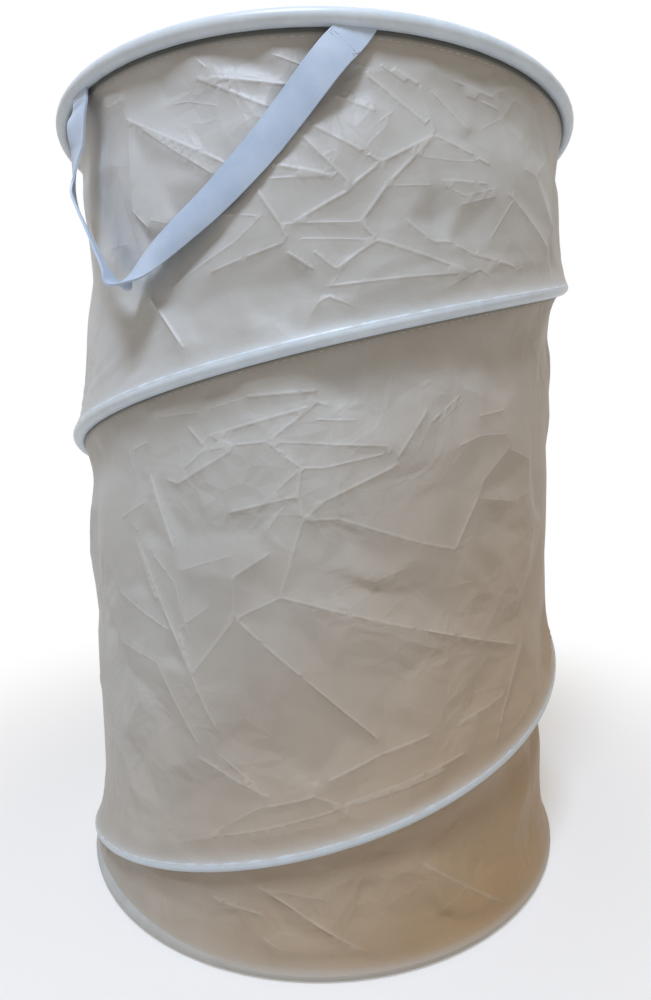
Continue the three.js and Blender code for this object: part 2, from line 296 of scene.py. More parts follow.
# %% Finish helpers
def colour(code):
    """An sRGB hex colour as linear light."""
    parts = [int(code[i : i + 2], 16) / 255 for i in (1, 3, 5)]
    linear = [p / 12.92 if p <= 0.04045 else ((p + 0.055) / 1.055) ** 2.4 for p in parts]
    return (*linear, 1)


def new_finish(name):
    """An empty material, its node tree and its shader."""
    material = bpy.data.materials.new(name)
    material.use_nodes = True
    return material, material.node_tree, material.node_tree.nodes["Principled BSDF"]


def feed(node, inputs):
    """Gives each input a value or another node's output, and passes over None."""
    for key, value in inputs.items():
        if isinstance(value, bpy.types.NodeSocket):
            node.id_data.links.new(value, node.inputs[key])
        elif value is not None:
            node.inputs[key].default_value = value


def add(tree, kind, inputs=None, output=0, **settings):
    """Adds a ShaderNode of a kind with its settings and links, and gives back an output."""
    node = tree.nodes.new("ShaderNode" + kind)
    for key, value in settings.items():
        setattr(node, key, value)
    feed(node, inputs or {})
    return node.outputs[output]


def mottled(tree, pale, deep, noise, low=0.3):
    """A noise, and a colour that follows it from deep to pale."""
    cloud = add(tree, "TexNoise", noise)
    share = add(tree, "MapRange", {"Value": cloud, "From Min": low, "From Max": 1 - low})
    ends = {"Factor": share, 6: colour(deep), 7: colour(pale)}
    return cloud, add(tree, "Mix", ends, 2, data_type="RGBA")


def dress(tree, shader, base, tints, reliefs, **looks):
    """Lays tints over a colour, and reliefs in mm over each other, and feeds the shader."""
    for share, tint in tints:
        base = add(tree, "Mix", {"Factor": share, 6: base, 7: colour(tint)}, 2, data_type="RGBA")
    surface = None
    for height, depth, strength in reliefs:
        rise = {"Height": height, "Distance": depth * MM, "Strength": strength}
        surface = add(tree, "Bump", {**rise, "Normal": surface})
    feed(shader, {"Base Color": base, "Normal": surface})
    feed(shader, looks)


def band_scale(spacing_mm):
    """The scale that sets the bands of a wave texture this far apart."""
    return 2 * math.pi / (20 * spacing_mm * MM)


def finish_with(piece, material):
    piece.data.materials.clear()
    piece.data.materials.append(material)


# %% [markdown]
# ## Polyester taffeta
#
# The wall is a light plain weave of fine filament yarn, with a slight silky sheen. Its colour
# drifts between painted light and shade: a painted pale, cool grey light high on the left
# and a painted warm beige shade low on the right. It is faintly mottled where the cloth is
# more or less tight. Along a crease the yarns are pressed hard, so a thin line stands up and
# catches the light, and the line is painted paler too: a painted highlight, with a little
# wear. The real threads are 0.15 mm apart, too fine to show, so the weave is drawn at 0.9 mm
# and kept very faint.

# %% Taffeta finish
THREAD_MM = 0.9
CREASE_MM = 0.9
# The painted shadow under a hem starts this far below the hem's wire.
UNDER_HEM_MM = 4.3
# The hems' pale bluish colour is a painted highlight on the same taffeta as the wall.
HEM_HIGHLIGHT_PALE = "#CCD7DE"
# Painted pale light, laid over the taffeta high on the left.
PAINTED_LIGHT_HIGH_LEFT = "#C5C8CB"
# A crease line painted paler: a painted highlight, with a little wear.
WEAR_AND_HIGHLIGHT_TINT = "#E4E2DC"


def taffeta(name, pale, deep, low_right_shade, rough=0.5, follow="UV", mottle=14, creased=False):
    material, tree, shader = new_finish(name)
    if creased:
        # The wall remembers where it stood, so its look stays with the cloth when it is folded.
        place = add(tree, "Attribute", output="Vector", attribute_name="place_at_rest")
    else:
        place = add(tree, "TexCoord", output="Object")
    noise = {"Vector": place, "Scale": mottle, "Detail": 3, "Roughness": 0.6, "Distortion": 0.4}
    cloud, base = mottled(tree, pale, deep, noise, 0.32)
    dull = add(tree, "Math", {0: cloud, 1: 0.14, 2: rough - 0.07}, operation="MULTIPLY_ADD")
    # A number that grows to the right and downwards: a painted warm shade low on the right,
    # and a painted pale light high on the left.
    slope = {0: place, 1: (2.6, -0.4, -2.1)}
    painted_light_drift = add(tree, "VectorMath", slope, "Value", operation="DOT_PRODUCT")
    tints = []
    for start, end, most, tint in ((-0.6, 0.3, 0.95, low_right_shade), (-0.78, -1.05, 0.38, PAINTED_LIGHT_HIGH_LEFT)):
        ramp = {"Value": painted_light_drift, "From Min": start, "From Max": end, "To Max": most}
        tints.append((add(tree, "MapRange", ramp), tint))

    # Small dents where the cloth is slack.
    noise = {"Vector": place, "Scale": 34, "Detail": 3, "Roughness": 0.5, "Distortion": 0.9}
    reliefs = [(add(tree, "TexNoise", noise), 1.2, 0.3)]
    if creased:
        # Flat little pieces between small folds, most of them where the cloth is crumpled.
        noise = {"Vector": place, "Scale": 16, "Detail": 2, "Roughness": 0.6}
        wander = {0: add(tree, "TexNoise", noise, "Color"), 1: (0.05, 0.05, 0.05), 2: place}
        moved = add(tree, "VectorMath", wander, "Vector", operation="MULTIPLY_ADD")
        crumpled, line, hem_highlight, below = (
            add(tree, "Attribute", output="Fac", attribute_name=name)
            for name in ("crumpled", "crease_distance", "hem_highlight_share", "below_hem")
        )
        for cells, depth, least in ((24, 2.6, 0.45), (62, 1.1, 0.12)):
            cell = {"Vector": moved, "Scale": cells}
            edges = add(tree, "TexVoronoi", cell, "Distance", feature="DISTANCE_TO_EDGE")
            share = {0: crumpled, 1: 1 - least, 2: least}
            reliefs.append((edges, -depth, add(tree, "Math", share, operation="MULTIPLY_ADD")))
        # The pressed line of a crease stands up, and it is painted a little paler: a painted
        # highlight, with a little wear.
        line = add(tree, "Math", {0: line, 1: CREASE_MM * MM}, operation="DIVIDE")
        line = add(tree, "Math", {0: line, 1: line}, operation="MULTIPLY")
        line = add(tree, "Math", {0: 0.4, 1: line}, operation="POWER")
        reliefs.append((line, 0.5, 0.7))
        tints.append((add(tree, "Math", {0: line, 1: 0.09}, operation="MULTIPLY"), WEAR_AND_HIGHLIGHT_TINT))
        # Painted highlight where the cloth runs onto a hem.
        tints.append((hem_highlight, HEM_HIGHLIGHT_PALE))
        # Under a hem the cloth is tucked into a groove, and a painted shadow lies there: a warm
        # painted shade, and a thin dark painted line in the groove.
        below = add(tree, "Math", {0: below, 1: UNDER_HEM_MM * MM}, operation="SUBTRACT")
        below = add(tree, "Math", {0: below, 1: 0}, operation="MAXIMUM")
        for reach, tint, most in ((7, "#84745C", 0.5), (0.9, "#3E4440", 0.85)):
            shade = add(tree, "Math", {0: below, 1: reach * MM}, operation="DIVIDE")
            shade = add(tree, "Math", {0: 0.4, 1: shade}, operation="POWER")
            tints.append((add(tree, "Math", {0: shade, 1: most}, operation="MULTIPLY"), tint))

    on_cloth = add(tree, "TexCoord", output=follow)
    waves = {"Vector": on_cloth, "Scale": band_scale(THREAD_MM), "Distortion": 0.6}
    waves |= {"Detail": 1, "Detail Scale": 2}
    threads = [add(tree, "TexWave", waves, bands_direction=way) for way in ("X", "Y")]
    weave = add(tree, "Math", {0: threads[0], 1: threads[1]}, operation="MULTIPLY")
    reliefs.append((weave, 0.1, 0.15))
    silk = {"Specular IOR Level": 0.4, "Sheen Weight": 0.03, "Sheen Roughness": 0.4}
    dress(tree, shader, base, tints, reliefs, Roughness=dull, **silk)
    return material


# The third colour of each taffeta is the painted shade it gets low on the right.
wall_taffeta = taffeta("polyester_taffeta_wall", "#AFAEA9", "#A2A09A", "#987A50", creased=True)
# The hems' taffeta is a paler, bluer copy of the wall's: a painted highlight, weaker at the foot.
lit_hem_taffeta = taffeta(
    "polyester_taffeta_hem", HEM_HIGHLIGHT_PALE, "#BFCAD2", "#B4BBBE", 0.36, "Object", 60
)
lit_foot_taffeta = taffeta(
    "polyester_taffeta_foot_hem", "#B6B9B9", "#A9ACAB", "#9F9686", 0.42, "Object", 60
)
floor_taffeta = taffeta(
    "polyester_taffeta_bottom", "#B0AAA0", "#A29C91", "#A09684", follow="Object"
)
print("four cuts of taffeta")

# %% [markdown]
# ## The cloth wall
#
# The wall is cut flat, rolled into a tube and sewn along one side. Each wire pushes its hem
# out, so the cloth above a hem leans out and flows onto it, and the cloth below is tucked
# under it. Between two hems the wall is drawn in a little.

# %% Where the hems cross the wall
WALL_BASE = OUTER - 9.8 * MM
GIRTH = 2 * math.pi * WALL_BASE
WALL_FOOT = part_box("wall_fabric")[0].z
WALL_LENGTH = TOP_COIL - WALL_FOOT
WALL_COLUMNS = 478
WALL_ROWS = 188
LIP = 1 * MM  # the cloth above a hem starts this far over the wire
LEAN_MM, TUCK_MM, WAIST_MM = 9.82, 3.3, 2.2
FULL_MM, HOLLOW_MM = 3.6, 7.5


def hems_over(azimuth):
    """Heights of the hoops and of each spiral turn over every azimuth, one row each."""
    first = (SPIRAL_HEAD_AZIMUTH - azimuth) % 360
    rows = [0 * azimuth + BOTTOM_COIL, 0 * azimuth + TOP_COIL]
    for turned in (first - 360, first, first + 360):
        height = spiral_height(turned)
        height = np.where(turned < -SPIRAL_MERGE, TOP_COIL, height)
        rows.append(np.where(turned > SPIRAL_TURN + SPIRAL_MERGE, BOTTOM_COIL, height))
    return np.stack(rows, -1)


def above_and_below(azimuth, height):
    """How far each point is above the hem under it, and below the hem over it."""
    levels = hems_over(azimuth)
    covered = (levels + LIP - HAIR <= height[:, None]) & (levels < TOP_COIL - LIP)
    under = np.where(covered, levels, BOTTOM_COIL).max(1)
    over = np.where(covered, TOP_COIL, levels).min(1)
    up = np.where(height < BOTTOM_COIL + LIP - HAIR, HEIGHT, height - under)
    return up, np.maximum(over - height, 0)


def wall_radius(up, down):
    """The wall leans out over a hem, is tucked in under one and has a waist further down."""
    lean = LEAN_MM * np.exp(-np.maximum(up / MM - 0.9, 0) / 19)
    tuck = TUCK_MM * np.exp(-np.maximum(down / MM - 4, 0) / 8)
    waist = -WAIST_MM * swell(down / MM, 30, 15)
    return WALL_BASE + (np.hypot(lean, tuck) + waist) * MM


def belly(azimuth, height, up, down):
    """Under the rim the cloth is fuller at the front right and drawn in at the left."""
    full = (0.5 + 0.5 * np.cos(np.radians(azimuth - 20))) ** 2 * swell(height, 0.432, 0.05)
    hollow = (0.5 + 0.5 * np.cos(np.radians(azimuth + 76))) ** 7 * swell(height, 0.415, 0.055)
    swelling = (FULL_MM * full - HOLLOW_MM * hollow) * MM
    return swelling * step(up / (34 * MM)) * step(down / (26 * MM))


print(f"wall {GIRTH:.3f} m round and {WALL_LENGTH:.3f} m high")


# %% [markdown]
# ## Creases
#
# Thin cloth that was folded and packed away is a surface of nearly flat pieces between
# straight ridges. So the wall gets corners and ridges first, laid out flat, and a
# triangulation that must use the ridges as edges gives the flat pieces between them. The
# ridges on the front are listed one by one, each from one place to another. Round the back
# they are drawn from a seed, and so are the low corners in between.

# %% Ridges
# Each ridge starts at an azimuth in tenths of a degree and a height in thousandths of the
# hamper's, and goes on to one or more corners, each with the strength of that stretch in tenths.
placed_ridges = [
    (-198, 952, -74, 918, 12), (-198, 952, -41, 937, 10), (-365, 936, -151, 870, 12),
    (-365, 936, -170, 860, 8), (-30, 895, 62, 842, 12), (-16, 902, 111, 865, 12),
    (62, 842, 111, 865, 10, 204, 895, 12, 123, 846, 10),
    (114, 863, 123, 846, 8, 77, 809, 12, 105, 793, 10), (-69, 863, 34, 850, 10, -76, 850, 8),
    (-38, 807, 62, 839, 10), (-94, 841, -53, 806, 10, -45, 794, 10), (-56, 808, 77, 809, 8),
    (123, 844, 200, 848, 7), (87, 946, 192, 906, 12), (135, 953, 182, 941, 10, 209, 898, 8),
    (37, 927, 104, 912, 13), (207, 896, 321, 878, 9), (255, 833, 338, 849, 8),
    (367, 856, 512, 813, 9), (363, 932, 390, 863, 6), (303, 912, 363, 932, 6, 424, 975, 6),
    (-320, 752, -226, 690, 12), (-262, 757, -132, 794, 9), (-180, 767, -48, 791, 9),
    (-45, 782, 1, 764, 10), (-5, 784, 36, 764, 9, 76, 782, 10, 105, 793, 10, 272, 767, 12),
    (105, 793, -43, 794, 7), (22, 748, 272, 767, 9, 299, 773, 8), (132, 720, 299, 773, 10),
    (9, 735, 22, 738, 10), (22, 739, 81, 724, 10, 135, 721, 8), (9, 736, -21, 706, 10),
    (-402, 889, -311, 751, 5), (-202, 603, -4, 633, 11, -88, 597, 10, -149, 594, 9, -202, 603, 9),
    (-149, 594, -212, 588, 10, -254, 568, 9), (-296, 557, -267, 552, 10, -151, 589, 10),
    (-88, 597, -28, 570, 11, 12, 570, 9, 133, 585, 9), (-88, 597, 133, 591, 8),
    (-28, 570, -34, 542, 10, -94, 535, 8), (-34, 542, -26, 516, 10, -39, 492, 10, -68, 437, 12),
    (-28, 570, -94, 535, 8), (-163, 523, -38, 541, 10), (-26, 516, 38, 517, 10, 190, 488, 10),
    (-26, 516, 15, 537, 12, 146, 572, 10), (-68, 434, -34, 430, 12, 192, 393, 11, 453, 347, 9),
    (-158, 454, -87, 481, 11), (-158, 454, -157, 409, 9), (-160, 415, -191, 383, 9),
    (-340, 561, -280, 478, 10), (-389, 484, -336, 418, 10),
    (-349, 480, -283, 443, 9, -255, 379, 8), (-470, 357, -343, 345, 8), (-382, 485, -251, 340, 11),
    (-343, 345, -240, 260, 10), (-278, 387, -251, 340, 10, -199, 282, 11),
    (-155, 409, -251, 340, 10), (-155, 409, -32, 349, 11, 112, 273, 9), (-68, 434, -155, 409, 9),
    (-241, 245, -93, 211, 12), (-103, 201, -15, 215, 10),
    (-447, 98, -188, 162, 8, 37, 203, 9, 238, 231, 9), (470, 348, 378, 261, 10, 349, 224, 9),
    (502, 270, 399, 244, 10), (-649, 275, -484, 205, 10), (-453, 249, -390, 295, 7),
    (-423, 36, -346, 24, 8), (-222, 76, -114, 68, 10), (-123, 101, 72, 36, 14, 179, 7, 10),
    (-115, 46, -79, 36, 9, 72, 32, 8), (199, 118, 413, 24, 10, 572, -17, 10),
    (-125, 101, 15, 89, 7), (-259, 936, -219, 934, 6, -161, 924, 6), (-424, 966, -367, 961, 7),
    (-422, 956, -365, 956, 8), (-377, 950, -357, 930, 6), (-362, 930, -354, 843, 6),
    (-359, 844, -314, 820, 8), (-313, 829, -267, 821, 7), (-450, 904, -368, 889, 4),
    (-451, 814, -378, 810, 6), (-434, 796, -412, 820, 7), (-215, 979, -172, 956, 8),
    (-66, 964, -9, 952, 8), (-158, 822, -86, 816, 7), (-132, 794, -86, 817, 8),
    (8, 763, 10, 736, 5), (29, 751, 51, 768, 6), (111, 956, 159, 941, 8), (203, 939, 274, 908, 8),
    (53, 932, 102, 918, 8), (107, 902, 135, 914, 7), (89, 881, 124, 901, 6),
    (201, 960, 243, 953, 6), (248, 953, 336, 947, 9), (273, 943, 349, 938, 8),
    (341, 953, 414, 973, 7), (370, 954, 468, 952, 7), (377, 927, 422, 916, 6),
    (178, 874, 245, 874, 6, 300, 880, 6), (218, 854, 313, 858, 8),
    (220, 850, 263, 842, 7, 340, 857, 7),
    (153, 813, 203, 794, 10, 231, 796, 10, 287, 786, 9, 390, 781, 10), (287, 785, 301, 792, 10),
    (295, 773, 342, 761, 9, 412, 783, 8), (322, 804, 382, 849, 8, 390, 864, 7),
    (421, 887, 466, 887, 7, 526, 912, 6), (466, 887, 544, 836, 7), (-246, 613, -209, 592, 10),
    (-320, 623, -221, 628, 7, -211, 621, 7), (-213, 596, -192, 604, 8, -151, 596, 8),
    (-124, 643, 3, 648, 10), (-200, 631, -124, 642, 7), (-14, 639, 24, 633, 10),
    (-395, 587, -345, 597, 8), (-412, 591, -389, 561, 8), (-436, 508, -352, 530, 8),
    (-406, 507, -381, 495, 7), (-487, 444, -459, 418, 7, -301, 386, 9), (-582, 408, -488, 391, 6),
    (-270, 457, -161, 477, 7), (-91, 505, -58, 532, 7), (-281, 389, -207, 420, 8),
    (-21, 516, 3, 538, 9), (1, 619, 73, 618, 8), (143, 577, 203, 628, 10), (211, 615, 274, 643, 9),
    (222, 612, 281, 638, 6), (269, 654, 333, 643, 6), (316, 621, 389, 628, 8),
    (271, 590, 322, 600, 9, 401, 601, 7),
    (404, 601, 405, 585, 8, 332, 551, 7, 324, 536, 8, 267, 478, 10), (405, 585, 496, 569, 7),
    (325, 531, 431, 523, 7, 490, 532, 6), (190, 488, 267, 477, 10, 308, 488, 6),
    (267, 477, 320, 442, 6), (98, 449, 161, 462, 6), (-495, 199, -456, 179, 7, -428, 169, 7),
    (-198, 253, -120, 223, 8), (-319, 218, -278, 232, 5), (-414, 108, -219, 158, 7, -105, 203, 8),
    (-448, 88, -209, 150, 7, -90, 171, 8, 16, 189, 8), (10, 232, 112, 258, 10, 210, 273, 10),
    (-20, 218, 39, 206, 9, 150, 224, 10, 281, 245, 10), (280, 279, 352, 288, 9, 403, 296, 8),
    (392, 246, 502, 271, 8), (164, 310, 268, 274, 5, 335, 277, 5), (250, 304, 299, 317, 5),
    (-21, 176, 49, 196, 8), (-22, 173, 100, 181, 9, 211, 195, 9), (70, 298, 116, 265, 5),
    (70, 957, 97, 948, 8), (145, 925, 166, 916, 5), (-134, 680, -93, 687, 5),
    (-360, 643, -305, 651, 5), (407, 455, 470, 399, 5), (539, 493, 499, 446, 4),
    (334, 367, 393, 408, 4), (-396, 74, -277, 84, 5), (-254, 59, -163, 80, 5),
    (112, 108, 195, 115, 5), (241, 59, 318, 74, 6), (-43, 89, 53, 112, 5),
]
ridges = []
for a, b, *corners in placed_ridges:
    for c, d, strength in zip(corners[::3], corners[1::3], corners[2::3]):
        ridges.append((a / 10, b / 1000, c / 10, d / 1000, strength / 10))
        a, b = c, d
# Round the back each place sends out one to three ridges, and often the next one goes on
# from where the last one ended.
RADIUS_SHARE = 0.34  # about the wall's radius over its height
BACK_PLACES = 46
draw = np.random.default_rng(7)
for _ in range(BACK_PLACES):
    azimuth, share = draw.uniform(60, 300), draw.uniform(0.05, 0.95)
    for _ in range(draw.integers(1, 4)):
        turn, reach = draw.uniform(0, 2 * math.pi), draw.uniform(0.04, 0.12)
        to_azimuth = azimuth + math.degrees(reach * math.cos(turn) / RADIUS_SHARE)
        to_share = share + reach * math.sin(turn)
        ridges.append((azimuth, share, to_azimuth, to_share, draw.uniform(0.5, 1.1)))
        if draw.random() < 0.6:
            azimuth, share = to_azimuth, to_share
ridge_starts = np.array([(math.radians(a) * WALL_BASE, b * HEIGHT) for a, b, *_ in ridges])
ridge_ends = np.array([(math.radians(c) * WALL_BASE, d * HEIGHT) for _, _, c, d, _ in ridges])
ridge_strengths = np.array([row[4] for row in ridges])
print(len(ridges), "ridges")


# %% Flat pieces between the ridges
def beside(points, start, end):
    """Share of the way along a line, and signed distance from it, for points round the wall."""
    along = end - start
    length = np.hypot(*along)
    along = along / length
    x = (points[:, 0] - start[0] + GIRTH / 2) % GIRTH - GIRTH / 2
    y = points[:, 1] - start[1]
    return (x * along[0] + y * along[1]) / length, y * along[0] - x * along[1]


def loose_corners(spacing, seed, clear_of_ridges):
    """Random corners at least this far apart, clear of the ridges if wanted, and heights."""
    draw = np.random.default_rng(seed)
    beyond, count = 0.03, 6000
    tries = draw.uniform((0, -beyond), (GIRTH, HEIGHT + beyond), (count, 2))
    if clear_of_ridges:
        for start, end in zip(ridge_starts, ridge_ends):
            run, side = beside(tries, start, end)
            tries = tries[(abs(side) > 0.45 * spacing) | (run < -0.1) | (run > 1.1)]
    kept = np.empty((0, 2))
    for place in tries:
        away = abs(kept - place)
        away[:, 0] = np.minimum(away[:, 0], GIRTH - away[:, 0])
        if not len(kept) or np.hypot(*away.T).min() > spacing:
            kept = np.vstack([kept, place])
    return kept, draw.uniform(-1, 1, len(kept))


def triangulated(points, corners, heights, lines):
    """Height at points of a surface of flat triangles between corners, round the whole wall."""
    shifts = (-GIRTH, 0, GIRTH)
    places = [Vector((x + shift, y)) for shift in shifts for x, y in corners]
    count = len(corners)
    edges = [(a + k * count, b + k * count) for k in range(3) for a, b in lines]
    out, _, faces, source, _, _ = delaunay_2d_cdt(places, edges, [], 0, 1e-6)
    out = np.array([tuple(place) for place in out])
    # Where two ridges cross there is a new corner, and it gets the ridges' mean height.
    crossing = heights[: 2 * len(lines)].mean() if lines else 0
    lift = np.array([heights[ids[0] % count] if ids else crossing for ids in source])
    x = points[:, 0] % GIRTH
    order = np.argsort(x)
    sorted_x = x[order]
    result = np.zeros(len(points))
    for face in faces:
        a, b, c = out[list(face)]
        low, high = out[list(face), 0].min(), out[list(face), 0].max()
        if high < 0 or low > GIRTH:
            continue
        first, last = np.searchsorted(sorted_x, (low, high))
        near = order[first:last]
        p = np.stack([x[near], points[near, 1]], -1) - a
        area = (b[0] - a[0]) * (c[1] - a[1]) - (b[1] - a[1]) * (c[0] - a[0])
        u = (p[:, 0] * (c[1] - a[1]) - p[:, 1] * (c[0] - a[0])) / area
        v = (p[:, 1] * (b[0] - a[0]) - p[:, 0] * (b[1] - a[1])) / area
        inside = (u > -1e-6) & (v > -1e-6) & (u + v < 1 + 1e-6)
        z = lift[list(face)]
        result[near[inside]] = (z[0] + u * (z[1] - z[0]) + v * (z[2] - z[0]))[inside]
    return result


def patches(points, size, seed):
    """A smooth pattern between 0 and 1 that meets itself round the wall, a sum of waves."""
    draw = np.random.default_rng(seed)
    total = 0 * points[:, 0]
    for _ in range(9):
        turns = draw.integers(1, max(2, round(GIRTH / size)))
        climb = draw.uniform(-1, 1) * 2 * math.pi / size
        phase = draw.uniform(0, 6)
        around = 2 * math.pi * turns * points[:, 0] / GIRTH
        total = total + np.sin(around + climb * points[:, 1] + phase)
    return 1 / (1 + np.exp(-total * 0.9))


# %% [markdown]
# A ridge looks sharp only if the mesh has points right on it. So each grid point that lies
# within half a cell of a ridge is slid onto it, while the cloth is still flat, and where a
# ridge crosses a square from corner to corner, the square is split along the ridge.

# %% Flat cut with its points slid onto the ridges
wall, share_across, share_up = cloth_grid("wall", WALL_COLUMNS, WALL_ROWS, GIRTH, WALL_LENGTH)
start_x = math.radians(SEAM_AZIMUTH) * WALL_BASE
flat = np.stack([start_x + share_across * GIRTH, WALL_FOOT + share_up * WALL_LENGTH], -1)
cell = np.array([GIRTH / WALL_COLUMNS, WALL_LENGTH / WALL_ROWS])
at_edge = (share_across < 1e-6) | (share_across > 1 - 1e-6)
on_ridge = np.full(len(flat), -1)
for number, level in enumerate(hems_over(np.degrees(flat[:, 0] / WALL_BASE)).T):
    near = (abs(level + LIP - flat[:, 1]) <= 0.5 * cell[1]) & (on_ridge < 0)
    near &= level < TOP_COIL - LIP
    flat[near, 1] = level[near] + LIP
    on_ridge[near] = len(ridges) + number
for number in np.argsort(-ridge_strengths):
    run, side = beside(flat, ridge_starts[number], ridge_ends[number])
    along = ridge_ends[number] - ridge_starts[number]
    along = along / np.hypot(*along)
    steep = abs(along[0]) * cell[1] < abs(along[1]) * cell[0]
    slide = side / along[1] if steep else -side / along[0]
    near = (abs(slide) <= 0.49 * cell[0 if steep else 1]) & (run > -0.02) & (run < 1.02)
    near &= (on_ridge < 0) & ~at_edge
    flat[near, 0 if steep else 1] += slide[near]
    on_ridge[near] = number
for first, second, method in ((0, 2, "FIXED"), (1, 3, "FIXED_ALTERNATE")):
    crossed = [
        len(ids) == 4 and bool(on_ridge[ids[first]] == on_ridge[ids[second]] >= 0)
        for ids in (face.vertices for face in wall.data.polygons)
    ]
    edit(wall, crossed, "FACE")
    bpy.ops.mesh.quads_convert_to_tris(quad_method=method)
    start_clean()
print(int((on_ridge >= 0).sum()), "points slid onto ridges,", len(wall.data.polygons), "faces")

# %% The wall, folded and rolled up
to_ridge = np.full(len(flat), 20 * MM)
pinch = np.zeros(len(flat))
for start, end, depth in zip(ridge_starts, ridge_ends, ridge_strengths):
    run, side = beside(flat, start, end)
    fade = step(run * 7 + 0.6) * step((1 - run) * 7 + 0.6) * depth
    side = abs(side)
    to_ridge = np.minimum(to_ridge, side + np.maximum(1 - fade, 0) * 2.2 * MM)
    pinch = np.maximum(pinch, fade * np.maximum(1 - side / (6 * MM), 0) ** 2)
loose, loose_heights = loose_corners(19 * MM, 1, True)
tiny, tiny_heights = loose_corners(12 * MM, 2, False)
ridge_corners = np.stack([ridge_starts, ridge_ends], 1).reshape(-1, 2)
ridge_heights = 0.4 + 0.8 * np.repeat(ridge_strengths, 2) + 1.3 * patches(ridge_corners, 0.035, 9)
corners = np.vstack([ridge_corners, loose])
heights = np.concatenate([ridge_heights, loose_heights * 1.5 - 0.4])
lines = [(2 * n, 2 * n + 1) for n in range(len(ridges))]
folded = triangulated(flat, corners, heights, lines)
crumbs = triangulated(flat, tiny, tiny_heights, [])
# The same folds once more, blurred, round off the flat pieces a little.
soft = folded.reshape(WALL_ROWS + 1, WALL_COLUMNS + 1)[:, :-1].copy()
for _ in range(14):
    padded = np.pad(soft, ((1, 1), (0, 0)), mode="edge")
    soft = (padded[:-2] + 2 * soft + padded[2:]) / 4
    soft = (np.roll(soft, 1, 1) + 2 * soft + np.roll(soft, -1, 1)) / 4
soft = np.hstack([soft, soft[:, :1]]).ravel()
azimuth = np.degrees(flat[:, 0] / WALL_BASE)
up, down = above_and_below(azimuth, flat[:, 1])
slack = step((up / MM - 3) / 15) * step((down / MM - 4) / 9)
# Soft folds climb from each hem, close beside each other in some places and absent in others.
beside_hem = swell(up / MM, 20, 12) * (0.15 + 0.9 * patches(flat, 0.16, 5))
wave = up / (10 * MM) + 1.1 * patches(flat, 0.12, 6) + 0.5 * np.sin(np.radians(2 * azimuth))
hem_folds = (1 - 2 * abs(wave % 1 - 0.5)) * beside_hem * 0.7
crumpled = step(patches(flat, 0.11, 8) * 2.2 - 0.8)
# All in mm: flat pieces, their blurred copy, pinched ridges, small crumbs, folds at the hems.
relief = 0.85 * folded + 0.4 * soft + 0.6 * pinch + 0.5 * crumbs * crumpled + hem_folds
radius = wall_radius(up, down) + belly(azimuth, flat[:, 1], up, down) + slack * relief * MM
move_points(wall, ring_place(azimuth, radius, flat[:, 1]))
give_attribute(wall, "place_at_rest", points_of(wall))
give_attribute(wall, "crumpled", crumpled * slack)
give_attribute(wall, "crease_distance", to_ridge + (1 - slack) * 3 * MM)
# The cloth that runs onto a hem gets the hem's painted highlight, less of it at the foot.
over_foot = abs(flat[:, 1] - BOTTOM_COIL - up) < 0.1 * MM
highlight_share = np.where(over_foot, 0.3, 0.6)
give_attribute(wall, "hem_highlight_share", highlight_share * np.exp(-(up - LIP) / (2.6 * MM)) * (up < HEIGHT))
give_attribute(wall, "below_hem", down)
use(wall)
bpy.ops.object.shade_smooth_by_angle(angle=math.radians(38))
finish_with(wall, wall_taffeta)
print("relief from", relief.min().round(2), "to", relief.max().round(2), "mm")

# %% [markdown]
# ## Hems
#
# A hem is a sleeve of the same cloth, folded over the wire and stitched. Its section is a
# circle, and the wall's cloth covers its upper half and runs on inside it. The section is
# drawn once, standing beside the axis, and spun round it. A hoop's sleeve has its two ends at
# the side seam, where the wire went in. For the spiral the spun coil is then lifted step by
# step to the height of its wire, and it grows thinner where it runs into the other two hems.

# %% Hem section and spin
HEM_SIDES = 28
RIM_TUBE = 0.88 * HEM  # the rim's hem is a little slimmer
SLOT_DEGREES = 0.05  # between the two ends of a sleeve
RING_STEPS = 300
SPIRAL_STEPS = 560


def spun_hem(name, tube, height, from_azimuth, degrees, steps):
    """The hem's section spun round the hamper's axis, counterclockwise seen from above."""
    start_clean()
    bpy.ops.mesh.primitive_circle_add(
        vertices=HEM_SIDES, radius=tube, location=(OUTER - tube, 0, height),
        rotation=(math.pi / 2, 0, 0),
    )
    piece = added(name)
    bpy.ops.object.transform_apply()
    move_points(piece, turned_round(points_of(piece), math.radians(from_azimuth - 90)))
    edit(piece)
    # Spin turns clockwise about its axis for a positive angle.
    bpy.ops.mesh.spin(
        steps=steps, angle=-math.radians(degrees), center=(0, 0, 0), axis=(0, 0, 1)
    )
    start_clean()
    return piece


def sew_hem(piece, along, seed, cloth):
    """Gathers a spun hem a little, as the thread does, and closes its first and last section."""
    points = points_of(piece)
    draw = np.random.default_rng(seed)
    waves = 0
    for _ in range(8):
        size, turns = draw.uniform(0.4, 1), draw.integers(35, 130)
        waves = waves + size * np.sin(2 * math.pi * along * turns / GIRTH + draw.uniform(0, 6))
    outward = points * [1, 1, 0]
    outward = outward / np.linalg.norm(outward, axis=1)[:, None]
    points = points + outward * (waves * 0.02 * MM)[:, None]
    points[:, 2] = np.maximum(points[:, 2], 0)
    move_points(piece, points)
    number = np.arange(len(points))
    for section in (number < HEM_SIDES, number >= len(points) - HEM_SIDES):
        edit(piece, section)
        bpy.ops.mesh.edge_face_add()
    tidy_mesh(piece, 50)
    finish_with(piece, cloth)
    print(piece.name, len(piece.data.polygons), "faces")


# %% The two hoops' hems
def hoop_hem(name, tube, height, seed, cloth):
    start = SEAM_AZIMUTH + SLOT_DEGREES / 2
    piece = spun_hem(name, tube, height, start, 360 - SLOT_DEGREES, RING_STEPS)
    along = np.repeat(np.arange(RING_STEPS + 1), HEM_SIDES) / RING_STEPS * GIRTH
    sew_hem(piece, along, seed, cloth)
    return piece


